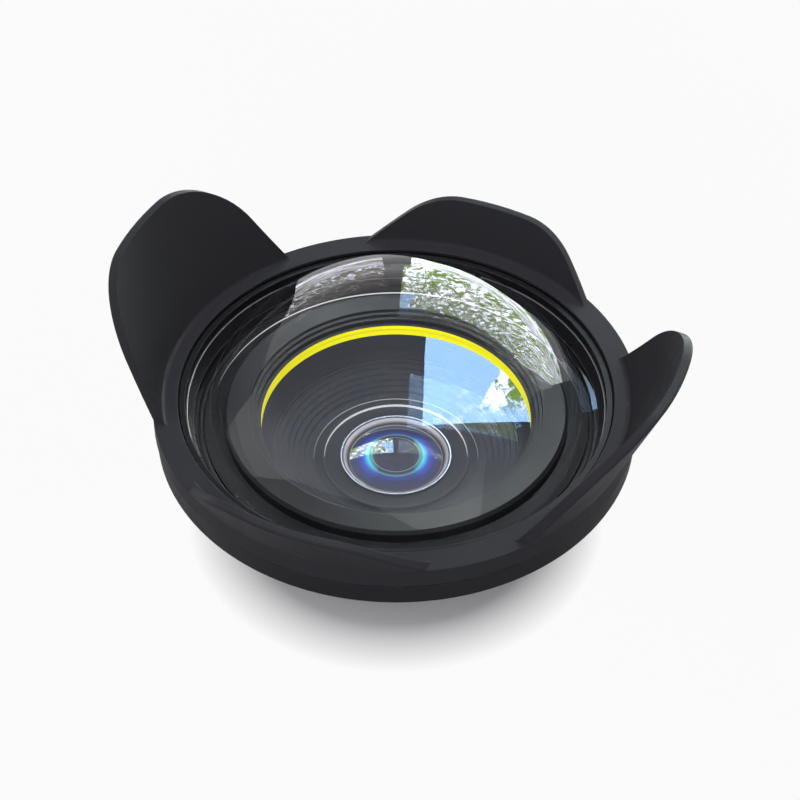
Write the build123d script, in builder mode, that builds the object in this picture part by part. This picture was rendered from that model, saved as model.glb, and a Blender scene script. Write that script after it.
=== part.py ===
from build123d import *
import os
from math import cos, hypot, radians, sin, sqrt, tan

# Underwater wide-angle conversion lens with a petal hood, in millimetres.
# The lens stands on the end of its rear thread at z = 0 and looks up along +Z, the optical axis.
# The long hood petals lie on X and the short ones on Y. Heights build up from the rest plane.

os.makedirs("parts", exist_ok=True)

# Fits
RUNNING_FIT = 0.06  # radial, between parts that turn or slide on each other
SLIP_FIT = 0.05  # radial, between fixed parts that are pushed or screwed together
SEAT_GAP = 0.02  # at a glass seat, filled by a film of sealant
END_GAP = 0.25  # axial, beside a part that turns

# Rear mount, an M67 x 0.75 male thread drawn as a plain cylinder
THREAD_R = 33.5
THREAD_LENGTH = 4.6
THREAD_CHAMFER = 0.5
MOUNT_FLANGE_R = 36.5
MOUNT_FLANGE_T = 2.4
MOUNT_BOSS_R = 32.0
MOUNT_BOSS_LENGTH = 4.0
MOUNT_SCREW_R = 1.0
MOUNT_SCREW_LENGTH = 4.0
MOUNT_SCREW_COUNT = 3

# Rear lens and its tube
REAR_RECESS = 1.6
REAR_TUBE_R = 29.5
REAR_TUBE_WALL = 1.95
REAR_RING_T = 1.9
REAR_RING_WIDTH = 2.5
REAR_LENS_EDGE = 1.6
REAR_LENS_CURVE = 160.0
REAR_SEAL_T = 0.5
REAR_SEAT_WIDTH = 2.0
SPANNER_SLOT_WIDTH = 2.0
SPANNER_SLOT_DEPTH = 0.9

# Small lens cell on the axis
CELL_CLEARANCE = 0.35
CELL_FLOOR_T = 0.6
CELL_APERTURE_R = 9.2
CELL_BODY_R = 19.55
CELL_FLANGE_R = 22.5
CELL_FLANGE_T = 1.9
CELL_RING_WIDTH = 4.4
CELL_RING_T = 1.4
FOURTH_LENS_R = 10.5
FOURTH_LENS_EDGE = 1.2
FOURTH_LENS_CURVE = 22.0
FOURTH_RIM_WIDTH = 0.2
LOWER_SPACER_T = 1.1
STOP_R = 8.0
STOP_T = 0.5
UPPER_SPACER_T = 0.9
UPPER_SPACER_WALL = 1.1
THIRD_LENS_R = 12.5
THIRD_LENS_EDGE = 1.8
THIRD_FRONT_CURVE = 40.0
THIRD_BACK_CURVE = 20.0
THIRD_BACK_CLEAR_R = 9.5
BEZEL_OVERLAP = 0.3
BEZEL_WIDTH = 2.4
BEZEL_LAND = 0.5
BEZEL_HEIGHT = 1.5
NAME_RING_T = 0.8
TRIM_RING_R = 19.15
TRIM_RING_WIDTH = 0.6
TRIM_RING_DEPTH = 0.4
TRIM_RING_RISE = 0.7
OUTER_TRIM_WIDTH = 0.85
OUTER_TRIM_HEIGHT = 1.0

# Stepped light trap between the cell and the second lens
TRAP_STEPS = 6
TRAP_FIRST_RISE = 1.0
TRAP_STEP_RISE = 0.75
TRAP_TOP_LAND = 0.6

# Second lens
SHIM_T = 0.5
SECOND_SEAT_WIDTH = 3.85
SECOND_LENS_R = 36.05
SECOND_LENS_EDGE = 6.2
SECOND_FRONT_CURVE = 450.0
SECOND_BACK_CURVE = 100.0
SECOND_BACK_MARGIN = 0.2
YELLOW_RING_WALL = 1.05
YELLOW_RING_HEIGHT = 3.1

# Barrel shells
NECK_LENGTH = 3.6
REAR_SHELL_R = 53.0
REAR_SHELL_BAND = 2.5
SHELL_SPIGOT_MARGIN = 1.45
SHELL_SPIGOT_LENGTH = 3.0
SECOND_BORE_MARGIN = 0.7
SEAL_CORD_R = 0.7
SEAL_GROOVE_WIDTH = 1.8
EDGE_CHAMFER = 0.3
FRONT_WEB_T = 2.5
FRONT_FOOT_R = 54.5
BAND_HEIGHT = 6.4
BAND_INSET = 0.6
BAND_CHAMFER = 0.7

# Stepped baffle around the second lens
BAFFLE_WALL = 8.4
BAFFLE_RISE = 3.4
BAFFLE_LAND = 4.8
BAFFLE_CHAMFER = 0.8
BAFFLE_STEPS = 3
BAFFLE_FOOT_RISE = 0.4

# Dome and its retaining ring
DOME_R = 53.7
DOME_WALL = 3.2
DOME_CENTRE_DROP = 15.0
DOME_FLANGE_T = 1.9
DOME_FLANGE_WIDTH = 2.4
DOME_RING_HEIGHT = 3.7
DOME_RING_LAND = 0.4
DOME_RING_FOOT = 1.3
DOME_THREAD_STEP = 0.8

# Spigot, slip ring and hood
LEDGE_RISE = 9.0
SKIRT_HEIGHT = 5.8
SPIGOT_WALL = 1.2
SPIGOT_DROP = 1.0
SPIGOT_LIP = 0.5
SLIP_RING_WALL = 1.54
SLIP_RING_SPLIT = 1.2
HOOD_WALL = 5.44
HOOD_LIP_CLEARANCE = 0.2
HOOD_LEDGE_T = 0.85
HOOD_CHAMFER = 0.5
PETAL_FLARE = 21.9
PETAL_WALL = 2.4
PETAL_ROOT_R = 1.2
PETAL_RIM_R = 0.6
FOOT_SINK = 0.2
LONG_HEIGHT = 30.15
LONG_HALF_FOOT = 35.7
LONG_HALF_TOP = 27.4
LONG_CORNER_R = 22.0
LONG_FOOT_R = 2.5
SHORT_HEIGHT = 12.05
SHORT_HALF_FOOT = 32.35
SHORT_HALF_TOP = 17.7
SHORT_CORNER_R = 22.0
SHORT_FOOT_R = 6.5

# Hood lock screws, M2.5 grub screws in the two gaps behind the short petal
LOCK_SCREW_R = 1.2
LOCK_SCREW_LENGTH = 4.6
LOCK_SCREW_BACK_OFF = 0.2
LOCK_SCREW_ANGLES = (45, 135)
SOCKET_SHARE = 0.6  # hexagon socket across its corners, of the screw's diameter
SOCKET_DEPTH = 1.2


def sagitta(curve, radius):
    """Depth of a sphere's cap of the given radius."""
    return curve - sqrt(curve**2 - radius**2)


# Heights of the rear lens group
mount_seat_z = THREAD_LENGTH + MOUNT_FLANGE_T
boss_top_z = mount_seat_z + MOUNT_BOSS_LENGTH
rear_tube_bore_r = REAR_TUBE_R - REAR_TUBE_WALL
rear_lens_r = rear_tube_bore_r - SLIP_FIT
rear_ring_inner_r = rear_lens_r - REAR_RING_WIDTH
rear_ring_top_z = REAR_RECESS + REAR_RING_T
rear_lens_apex_z = rear_ring_top_z + SEAT_GAP - sagitta(REAR_LENS_CURVE, rear_ring_inner_r)
rear_lens_edge_z = rear_lens_apex_z + sagitta(REAR_LENS_CURVE, rear_lens_r)
rear_lens_top_z = rear_lens_edge_z + REAR_LENS_EDGE
rear_seat_z = rear_lens_top_z + REAR_SEAL_T
rear_seat_r = rear_tube_bore_r - REAR_SEAT_WIDTH

# Heights of the small cell, from its floor up
cell_low_z = rear_lens_top_z + CELL_CLEARANCE
cell_floor_z = cell_low_z + CELL_FLOOR_T
fourth_low_z = cell_floor_z + SEAT_GAP
fourth_edge_z = fourth_low_z + FOURTH_LENS_EDGE
fourth_apex_z = fourth_edge_z + sagitta(FOURTH_LENS_CURVE, FOURTH_LENS_R)
fourth_rim_r = FOURTH_LENS_R - FOURTH_RIM_WIDTH
lower_spacer_z = fourth_apex_z - sagitta(FOURTH_LENS_CURVE, fourth_rim_r) + SEAT_GAP
stop_low_z = lower_spacer_z + LOWER_SPACER_T
upper_spacer_z = stop_low_z + STOP_T
third_low_z = upper_spacer_z + UPPER_SPACER_T + SEAT_GAP
third_edge_z = third_low_z + THIRD_LENS_EDGE
third_apex_z = third_edge_z + sagitta(THIRD_FRONT_CURVE, THIRD_LENS_R)
bezel_inner_r = THIRD_LENS_R - BEZEL_OVERLAP
bezel_outer_r = bezel_inner_r + BEZEL_WIDTH
cell_top_z = third_apex_z - sagitta(THIRD_FRONT_CURVE, bezel_inner_r) + SEAT_GAP
cell_bore_r = THIRD_LENS_R + SLIP_FIT
cell_flange_z = cell_top_z - CELL_FLANGE_T
name_ring_z = cell_top_z + NAME_RING_T
outer_trim_inner_r = CELL_FLANGE_R - OUTER_TRIM_WIDTH
web_bore_r = CELL_BODY_R + SLIP_FIT
web_counterbore_r = CELL_FLANGE_R + SLIP_FIT
cell_ring_inner_r = CELL_BODY_R + SLIP_FIT
cell_ring_low_z = cell_low_z
web_rear_z = cell_ring_low_z + CELL_RING_T

# Heights of the light trap and the second lens
second_bore_r = SECOND_LENS_R + SLIP_FIT
trap_low_z = cell_top_z
trap_bore_r = second_bore_r - SECOND_SEAT_WIDTH
trap_outer_r = trap_bore_r - SLIP_FIT
second_back_clear_r = trap_outer_r - SECOND_BACK_MARGIN
trap_top_z = trap_low_z + TRAP_FIRST_RISE + TRAP_STEPS * TRAP_STEP_RISE
second_seat_z = trap_top_z
second_low_z = second_seat_z + SHIM_T + SEAT_GAP
second_edge_z = second_low_z + SECOND_LENS_EDGE
second_apex_z = second_edge_z + sagitta(SECOND_FRONT_CURVE, SECOND_LENS_R)
yellow_inner_r = SECOND_LENS_R - YELLOW_RING_WALL
yellow_low_z = second_apex_z - sagitta(SECOND_FRONT_CURVE, yellow_inner_r) + SEAT_GAP

# Heights of the barrel shells
shell_spigot_top_z = second_edge_z + SECOND_BORE_MARGIN
shell_shoulder_z = shell_spigot_top_z - SHELL_SPIGOT_LENGTH
baffle_outer_r = second_bore_r + BAFFLE_WALL
shell_spigot_r = baffle_outer_r + SHELL_SPIGOT_MARGIN
shell_socket_r = shell_spigot_r + SLIP_FIT
floor_z = shell_spigot_top_z + FRONT_WEB_T
baffle_top_z = floor_z + BAFFLE_RISE
ledge_z = floor_z + LEDGE_RISE
band_top_z = ledge_z - SKIRT_HEIGHT
band_low_z = band_top_z - BAND_HEIGHT
spigot_top_z = ledge_z - SPIGOT_DROP
lip_low_z = spigot_top_z - SPIGOT_LIP

# The dome sets the radii of its seat, the spigot and the hood
dome_centre_z = floor_z - DOME_CENTRE_DROP
dome_flange_z = floor_z + SEAT_GAP + DOME_FLANGE_T
dome_root_r = sqrt(DOME_R**2 - (dome_flange_z - dome_centre_z) ** 2)
dome_flange_r = dome_root_r + DOME_FLANGE_WIDTH
dome_seat_r = dome_flange_r + SLIP_FIT
dome_bore_r = dome_seat_r - DOME_FLANGE_WIDTH - DOME_WALL
dome_ring_low_z = dome_flange_z + SEAT_GAP
dome_thread_r = dome_flange_r + DOME_THREAD_STEP
dome_ring_outer_r = dome_thread_r - SLIP_FIT
spigot_r = dome_thread_r + SPIGOT_WALL
lip_r = spigot_r + SPIGOT_LIP
slip_ring_inner_r = spigot_r + RUNNING_FIT
slip_ring_outer_r = slip_ring_inner_r + SLIP_RING_WALL
slip_ring_low_z = band_top_z + END_GAP
slip_ring_top_z = lip_low_z - END_GAP
hood_bore_r = slip_ring_outer_r + RUNNING_FIT
hood_r = hood_bore_r + HOOD_WALL
hood_ledge_inner_r = lip_r + HOOD_LIP_CLEARANCE
hood_low_z = band_top_z + END_GAP
band_r = hood_r - BAND_INSET


def outline_revolved(points, mode=Mode.ADD):
    """Revolve a closed outline of (radius, height) points about the optical axis, in the part being built."""
    with BuildSketch(Plane.XZ) as section:
        with BuildLine():
            Polyline(*points, close=True)
        make_face()
    revolve(section.sketch, axis=Axis.Z, mode=mode)


def ring_revolved(inner_r, outer_r, low_z, high_z, mode=Mode.ADD):
    """A plain ring between two radii and two heights."""
    corners = [(inner_r, low_z), (outer_r, low_z), (outer_r, high_z), (inner_r, high_z)]
    outline_revolved(corners, mode)


def seal_revolved(centre_r, centre_z):
    """An O-ring of the common cord size."""
    with BuildSketch(Plane.XZ) as section:
        with Locations((centre_r, centre_z)):
            Circle(SEAL_CORD_R)
    revolve(section.sketch, axis=Axis.Z)


def stairs(inner_r, outer_r, low_z, step_rise, count):
    """Points of a staircase that climbs outwards: each step is a wall and then a land."""
    run = (outer_r - inner_r) / count
    points = []
    for step in range(count):
        points.append((inner_r + step * run, low_z + (step + 1) * step_rise))
        points.append((inner_r + (step + 1) * run, low_z + (step + 1) * step_rise))
    return points


def radial_plane(angle, height):
    """Plane on the optical axis at a height, whose normal points outwards at an angle about the axis."""
    return Plane(origin=(0, 0, height), z_dir=(cos(radians(angle)), sin(radians(angle)), 0))


def radial_cylinder(angle, height, radius, start_r, end_r, mode=Mode.ADD):
    """A cylinder along a radius of the lens, from one distance off the axis to another."""
    with BuildSketch(radial_plane(angle, height).offset(start_r)) as section:
        Circle(radius)
    extrude(section.sketch, amount=end_r - start_r, mode=mode)


def radial_socket(angle, height, radius, outer_r):
    """The hexagon socket in a grub screw's outer end."""
    with BuildSketch(radial_plane(angle, height).offset(outer_r)) as section:
        RegularPolygon(radius * SOCKET_SHARE, 6)
    extrude(section.sketch, amount=-SOCKET_DEPTH, mode=Mode.SUBTRACT)


def petal_prism(plane, half_foot, half_top, height, corner_r, foot_r):
    """Both petals on one axis, seen square on: filleted feet, straight flanks and rounded corners."""
    base_z = ledge_z - FOOT_SINK
    wide = half_foot + foot_r
    with BuildSketch(plane) as section:
        with BuildLine():
            Polyline(
                (-wide, floor_z),
                (wide, floor_z),
                (wide, base_z),
                (half_foot, base_z),
                (half_top, ledge_z + height),
                (-half_top, ledge_z + height),
                (-half_foot, base_z),
                (-wide, base_z),
                close=True,
            )
        make_face()
        heights = section.vertices().group_by(Axis.Y)
        fillet(heights[-1], corner_r)
        fillet([v for v in heights[1] if abs(v.X) < wide - foot_r / 2], foot_r)
    extrude(section.sketch, amount=2 * hood_r, both=True)


# Rear mount ring: male thread, flange and the boss that the rear shell clamps
with BuildPart() as mount_ring:
    outline_revolved(
        [
            (REAR_TUBE_R + 2 * SLIP_FIT, 0),
            (THREAD_R - THREAD_CHAMFER, 0),
            (THREAD_R, THREAD_CHAMFER),
            (THREAD_R, THREAD_LENGTH),
            (MOUNT_FLANGE_R - EDGE_CHAMFER, THREAD_LENGTH),
            (MOUNT_FLANGE_R, THREAD_LENGTH + EDGE_CHAMFER),
            (MOUNT_FLANGE_R, mount_seat_z),
            (MOUNT_BOSS_R, mount_seat_z),
            (MOUNT_BOSS_R, boss_top_z),
            (REAR_TUBE_R + 2 * SLIP_FIT, boss_top_z),
        ]
    )

# Rear shell: neck, cone and the web that carries the cell, the light trap and the second lens
boss_socket_r = MOUNT_BOSS_R + SLIP_FIT
mount_screw_z = mount_seat_z + NECK_LENGTH / 2
mount_screw_angles = [90 + turn * 360 / MOUNT_SCREW_COUNT for turn in range(MOUNT_SCREW_COUNT)]
seal_z = (shell_shoulder_z + shell_spigot_top_z) / 2
groove_half = SEAL_GROOVE_WIDTH / 2
shell_seal_r = shell_socket_r - SEAT_GAP - SEAL_CORD_R
shell_groove_r = shell_seal_r - SEAL_CORD_R - SEAT_GAP
with BuildPart() as rear_shell:
    outline_revolved(
        [
            (REAR_TUBE_R, REAR_RECESS),
            (REAR_TUBE_R, boss_top_z + END_GAP),
            (boss_socket_r, boss_top_z + END_GAP),
            (boss_socket_r, mount_seat_z),
            (MOUNT_FLANGE_R, mount_seat_z),
            (MOUNT_FLANGE_R, mount_seat_z + NECK_LENGTH),
            (REAR_SHELL_R, shell_shoulder_z - REAR_SHELL_BAND),
            (REAR_SHELL_R, shell_shoulder_z),
            (shell_spigot_r, shell_shoulder_z),
            (shell_spigot_r, shell_spigot_top_z),
            (second_bore_r, shell_spigot_top_z),
            (second_bore_r, second_seat_z),
            (trap_bore_r, second_seat_z),
            (trap_bore_r, trap_low_z),
            (web_counterbore_r, trap_low_z),
            (web_counterbore_r, cell_flange_z),
            (web_bore_r, cell_flange_z),
            (web_bore_r, web_rear_z),
            (rear_seat_r, web_rear_z),
            (rear_seat_r, rear_seat_z),
            (rear_tube_bore_r, rear_seat_z),
            (rear_tube_bore_r, REAR_RECESS),
        ]
    )
    ring_revolved(shell_groove_r, shell_socket_r, seal_z - groove_half, seal_z + groove_half, Mode.SUBTRACT)
    for angle in mount_screw_angles:
        hole_r = MOUNT_SCREW_R + SLIP_FIT
        radial_cylinder(angle, mount_screw_z, hole_r, MOUNT_BOSS_R, MOUNT_FLANGE_R, Mode.SUBTRACT)

# Grub screws that lock the mount ring in the rear shell's neck
mount_screw_tip_r = MOUNT_BOSS_R + SEAT_GAP
mount_screw_end_r = mount_screw_tip_r + MOUNT_SCREW_LENGTH
with BuildPart() as mount_lock_screws:
    for angle in mount_screw_angles:
        radial_cylinder(angle, mount_screw_z, MOUNT_SCREW_R, mount_screw_tip_r, mount_screw_end_r)
        radial_socket(angle, mount_screw_z, MOUNT_SCREW_R, mount_screw_end_r)

# Rear lens: plano-convex, its curved face recessed inside the thread
with BuildPart() as rear_lens:
    with BuildSketch(Plane.XZ) as rear_lens_section:
        with BuildLine():
            Polyline(
                (0, rear_lens_apex_z),
                (0, rear_lens_top_z),
                (rear_lens_r, rear_lens_top_z),
                (rear_lens_r, rear_lens_edge_z),
            )
            RadiusArc((rear_lens_r, rear_lens_edge_z), (0, rear_lens_apex_z), REAR_LENS_CURVE)
        make_face()
    revolve(axis=Axis.Z)

with BuildPart() as rear_lens_seal:
    ring_revolved(rear_seat_r, rear_lens_r, rear_lens_top_z, rear_seat_z)

# Threaded ring that holds the rear lens, with two spanner slots in its outer face
with BuildPart() as rear_retaining_ring:
    ring_revolved(rear_ring_inner_r, rear_lens_r, REAR_RECESS, rear_ring_top_z)
    with BuildSketch(Plane.XY.offset(REAR_RECESS)):
        Rectangle(2 * rear_tube_bore_r, SPANNER_SLOT_WIDTH)
    extrude(amount=SPANNER_SLOT_DEPTH, mode=Mode.SUBTRACT)

# Cell housing of the small lenses
with BuildPart() as lens_cell:
    outline_revolved(
        [
            (CELL_APERTURE_R, cell_low_z),
            (CELL_BODY_R, cell_low_z),
            (CELL_BODY_R, cell_flange_z),
            (CELL_FLANGE_R, cell_flange_z),
            (CELL_FLANGE_R, cell_top_z),
            (cell_bore_r, cell_top_z),
            (cell_bore_r, lower_spacer_z),
            (FOURTH_LENS_R + SLIP_FIT, lower_spacer_z),
            (FOURTH_LENS_R + SLIP_FIT, cell_floor_z),
            (CELL_APERTURE_R, cell_floor_z),
        ]
    )

# Threaded ring on the cell's tail, behind the web
with BuildPart() as cell_retaining_ring:
    ring_revolved(cell_ring_inner_r, cell_ring_inner_r + CELL_RING_WIDTH, cell_ring_low_z, web_rear_z)

# Fourth lens: plano-convex, convex face forward
with BuildPart() as fourth_lens:
    with BuildSketch(Plane.XZ) as fourth_section:
        with BuildLine():
            Polyline(
                (0, fourth_apex_z),
                (0, fourth_low_z),
                (FOURTH_LENS_R, fourth_low_z),
                (FOURTH_LENS_R, fourth_edge_z),
            )
            RadiusArc((FOURTH_LENS_R, fourth_edge_z), (0, fourth_apex_z), -FOURTH_LENS_CURVE)
        make_face()
    revolve(axis=Axis.Z)

with BuildPart() as lower_spacer:
    ring_revolved(fourth_rim_r, THIRD_LENS_R, lower_spacer_z, stop_low_z)

with BuildPart() as aperture_stop:
    ring_revolved(STOP_R, THIRD_LENS_R, stop_low_z, upper_spacer_z)

with BuildPart() as upper_spacer:
    upper_spacer_inner_r = THIRD_LENS_R - UPPER_SPACER_WALL
    ring_revolved(upper_spacer_inner_r, THIRD_LENS_R, upper_spacer_z, upper_spacer_z + UPPER_SPACER_T)

# Third lens: the small meniscus with the blue coating
third_back_z = third_low_z + sagitta(THIRD_BACK_CURVE, THIRD_BACK_CLEAR_R)
with BuildPart() as third_lens:
    with BuildSketch(Plane.XZ) as third_section:
        with BuildLine():
            RadiusArc((0, third_back_z), (THIRD_BACK_CLEAR_R, third_low_z), THIRD_BACK_CURVE)
            Polyline(
                (THIRD_BACK_CLEAR_R, third_low_z),
                (THIRD_LENS_R, third_low_z),
                (THIRD_LENS_R, third_edge_z),
            )
            RadiusArc((THIRD_LENS_R, third_edge_z), (0, third_apex_z), -THIRD_FRONT_CURVE)
            Line((0, third_apex_z), (0, third_back_z))
        make_face()
    revolve(axis=Axis.Z)

# Silver bezel that screws down on the third lens
bezel_top_z = cell_top_z + BEZEL_HEIGHT
with BuildPart() as silver_bezel:
    outline_revolved(
        [
            (bezel_inner_r, cell_top_z),
            (bezel_outer_r, cell_top_z),
            (bezel_outer_r, bezel_top_z),
            (bezel_outer_r - BEZEL_LAND, bezel_top_z),
        ]
    )

# Plain black ring round the bezel, grooved for the inner trim ring
trim_half = TRIM_RING_WIDTH / 2
trim_low_z = name_ring_z - TRIM_RING_DEPTH
with BuildPart() as name_ring:
    ring_revolved(bezel_outer_r + SLIP_FIT, outer_trim_inner_r - SLIP_FIT, cell_top_z, name_ring_z)
    trim_groove_inner_r = TRIM_RING_R - trim_half - SLIP_FIT
    trim_groove_outer_r = TRIM_RING_R + trim_half + SLIP_FIT
    ring_revolved(trim_groove_inner_r, trim_groove_outer_r, trim_low_z, name_ring_z, Mode.SUBTRACT)

with BuildPart() as inner_trim_ring:
    trim_top_z = name_ring_z + TRIM_RING_RISE
    ring_revolved(TRIM_RING_R - trim_half, TRIM_RING_R + trim_half, trim_low_z, trim_top_z)

with BuildPart() as outer_trim_ring:
    ring_revolved(outer_trim_inner_r, CELL_FLANGE_R, cell_top_z, cell_top_z + OUTER_TRIM_HEIGHT)

# Light trap: a funnel of steps from the cell out to the second lens
with BuildPart() as light_trap:
    funnel = stairs(
        web_counterbore_r,
        trap_outer_r - TRAP_TOP_LAND,
        trap_low_z + TRAP_FIRST_RISE - TRAP_STEP_RISE,
        TRAP_STEP_RISE,
        TRAP_STEPS,
    )
    top_land = [(trap_outer_r - TRAP_TOP_LAND, trap_top_z), (trap_outer_r, trap_top_z)]
    outline_revolved([(web_counterbore_r, trap_low_z)] + funnel + top_land + [(trap_outer_r, trap_low_z)])

with BuildPart() as second_lens_shim:
    ring_revolved(trap_bore_r, SECOND_LENS_R, second_seat_z, second_seat_z + SHIM_T)

# Second lens: the large meniscus that fills the yellow ring
second_back_z = second_low_z + sagitta(SECOND_BACK_CURVE, second_back_clear_r)
with BuildPart() as second_lens:
    with BuildSketch(Plane.XZ) as second_section:
        with BuildLine():
            RadiusArc((0, second_back_z), (second_back_clear_r, second_low_z), SECOND_BACK_CURVE)
            Polyline(
                (second_back_clear_r, second_low_z),
                (SECOND_LENS_R, second_low_z),
                (SECOND_LENS_R, second_edge_z),
            )
            RadiusArc((SECOND_LENS_R, second_edge_z), (0, second_apex_z), -SECOND_FRONT_CURVE)
            Line((0, second_apex_z), (0, second_back_z))
        make_face()
    revolve(axis=Axis.Z)

# Yellow ring: threaded, holds the second lens down
with BuildPart() as yellow_ring:
    ring_revolved(yellow_inner_r, SECOND_LENS_R, yellow_low_z, yellow_low_z + YELLOW_RING_HEIGHT)

# Baffle round the second lens: bevelled rim, broad land, then fine steps down to the yellow ring
baffle_rim_r = baffle_outer_r - BAFFLE_CHAMFER
baffle_land_r = baffle_rim_r - BAFFLE_LAND
baffle_foot_z = yellow_low_z + YELLOW_RING_HEIGHT + BAFFLE_FOOT_RISE
baffle_step_rise = (baffle_top_z - baffle_foot_z) / BAFFLE_STEPS
with BuildPart() as baffle_ring:
    steps = stairs(second_bore_r, baffle_land_r, baffle_foot_z, baffle_step_rise, BAFFLE_STEPS)
    rim = [
        (baffle_rim_r, baffle_top_z),
        (baffle_outer_r, baffle_top_z - BAFFLE_CHAMFER),
        (baffle_outer_r, shell_spigot_top_z),
    ]
    outline_revolved([(second_bore_r, shell_spigot_top_z)] + steps + rim)

# Front shell: the lower band, the floor under the dome and the spigot for the hood
dome_groove_r = (dome_bore_r + dome_seat_r) / 2
dome_groove_depth = 2 * SEAL_CORD_R + SEAT_GAP
baffle_bore_r = baffle_outer_r + SLIP_FIT
with BuildPart() as front_shell:
    outline_revolved(
        [
            (shell_socket_r, shell_shoulder_z),
            (FRONT_FOOT_R, shell_shoulder_z),
            (band_r - BAND_CHAMFER, band_low_z),
            (band_r, band_low_z + BAND_CHAMFER),
            (band_r, band_top_z - EDGE_CHAMFER),
            (band_r - EDGE_CHAMFER, band_top_z),
            (spigot_r, band_top_z),
            (spigot_r, lip_low_z),
            (lip_r, lip_low_z),
            (lip_r - EDGE_CHAMFER, spigot_top_z),
            (dome_thread_r, spigot_top_z),
            (dome_thread_r, dome_flange_z),
            (dome_seat_r, dome_flange_z),
            (dome_seat_r, floor_z),
            (baffle_bore_r, floor_z),
            (baffle_bore_r, shell_spigot_top_z),
            (shell_socket_r, shell_spigot_top_z),
        ]
    )
    ring_revolved(
        dome_groove_r - groove_half,
        dome_groove_r + groove_half,
        floor_z - dome_groove_depth,
        floor_z,
        Mode.SUBTRACT,
    )

with BuildPart() as shell_seal:
    seal_revolved(shell_seal_r, seal_z)

with BuildPart() as dome_seal:
    seal_revolved(dome_groove_r, floor_z - SEAL_CORD_R)

# Dome: a concentric glass shell with a ground flange at its foot
dome_low_z = floor_z + SEAT_GAP
dome_inner_r = DOME_R - DOME_WALL
dome_base_r = sqrt(dome_inner_r**2 - (dome_low_z - dome_centre_z) ** 2)
with BuildPart() as dome_glass:
    with BuildSketch(Plane.XZ) as dome_section:
        with BuildLine():
            Line((0, dome_centre_z + dome_inner_r), (0, dome_centre_z + DOME_R))
            RadiusArc((0, dome_centre_z + DOME_R), (dome_root_r, dome_flange_z), DOME_R)
            Polyline(
                (dome_root_r, dome_flange_z),
                (dome_flange_r, dome_flange_z),
                (dome_flange_r, dome_low_z),
                (dome_base_r, dome_low_z),
            )
            RadiusArc((dome_base_r, dome_low_z), (0, dome_centre_z + dome_inner_r), -dome_inner_r)
        make_face()
    revolve(axis=Axis.Z)

# Threaded ring that clamps the dome's flange, with a thin bright lip and two spanner slots
dome_ring_top_z = dome_ring_low_z + DOME_RING_HEIGHT
with BuildPart() as dome_retaining_ring:
    outline_revolved(
        [
            (dome_root_r + DOME_RING_FOOT, dome_ring_low_z),
            (dome_ring_outer_r, dome_ring_low_z),
            (dome_ring_outer_r, dome_ring_top_z),
            (dome_ring_outer_r - DOME_RING_LAND, dome_ring_top_z),
        ]
    )
    with BuildSketch(Plane.XY.offset(dome_ring_top_z)):
        Rectangle(SPANNER_SLOT_WIDTH, 2 * dome_thread_r)
    extrude(amount=-SPANNER_SLOT_DEPTH, mode=Mode.SUBTRACT)

# Acetal ring, split so that it snaps over the spigot's lip; the hood turns with it and slides off it
with BuildPart() as hood_slip_ring:
    ring_revolved(slip_ring_inner_r, slip_ring_outer_r, slip_ring_low_z, slip_ring_top_z)
    top_edges = hood_slip_ring.edges().filter_by(GeomType.CIRCLE).group_by(Axis.Z)[-1]
    chamfer(top_edges.sort_by(SortBy.LENGTH)[-1], EDGE_CHAMFER)
    with BuildSketch(Plane.XZ.offset(-spigot_r)):
        with Locations((0, (slip_ring_low_z + slip_ring_top_z) / 2)):
            Rectangle(SLIP_RING_SPLIT, SKIRT_HEIGHT)
    extrude(amount=2 * SLIP_RING_WALL, both=True, mode=Mode.SUBTRACT)

# What is left above the ledge: the four petals
with BuildPart() as petal_envelope:
    petal_prism(Plane.YZ, LONG_HALF_FOOT, LONG_HALF_TOP, LONG_HEIGHT, LONG_CORNER_R, LONG_FOOT_R)
    petal_prism(Plane.XZ, SHORT_HALF_FOOT, SHORT_HALF_TOP, SHORT_HEIGHT, SHORT_CORNER_R, SHORT_FOOT_R)

with BuildPart() as petal_gaps:
    gap_height = LONG_HEIGHT + PETAL_ROOT_R
    ring_revolved(0.5 * hood_r, 2 * hood_r, ledge_z, ledge_z + gap_height)
    add(petal_envelope.part, mode=Mode.SUBTRACT)

# Hood: skirt, ledge and flared wall in one section, then the wall is cut away between the petals
flare_rise = tan(radians(PETAL_FLARE))
wall_run = PETAL_WALL / cos(radians(PETAL_FLARE))
petal_top_z = ledge_z + LONG_HEIGHT
petal_root_r = hood_r - wall_run
lock_hole_z = (hood_low_z + ledge_z - HOOD_LEDGE_T) / 2


def on_outer_rim(edge):
    """True for a long edge of a petal that lies on the hood's outer cone."""
    middle = edge.position_at(0.5)
    wall_r = hood_r + (middle.Z - ledge_z) * flare_rise
    above = middle.Z > ledge_z + FOOT_SINK
    return above and edge.length > 1.5 * PETAL_WALL and hypot(middle.X, middle.Y) > wall_r - PETAL_WALL / 2


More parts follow.
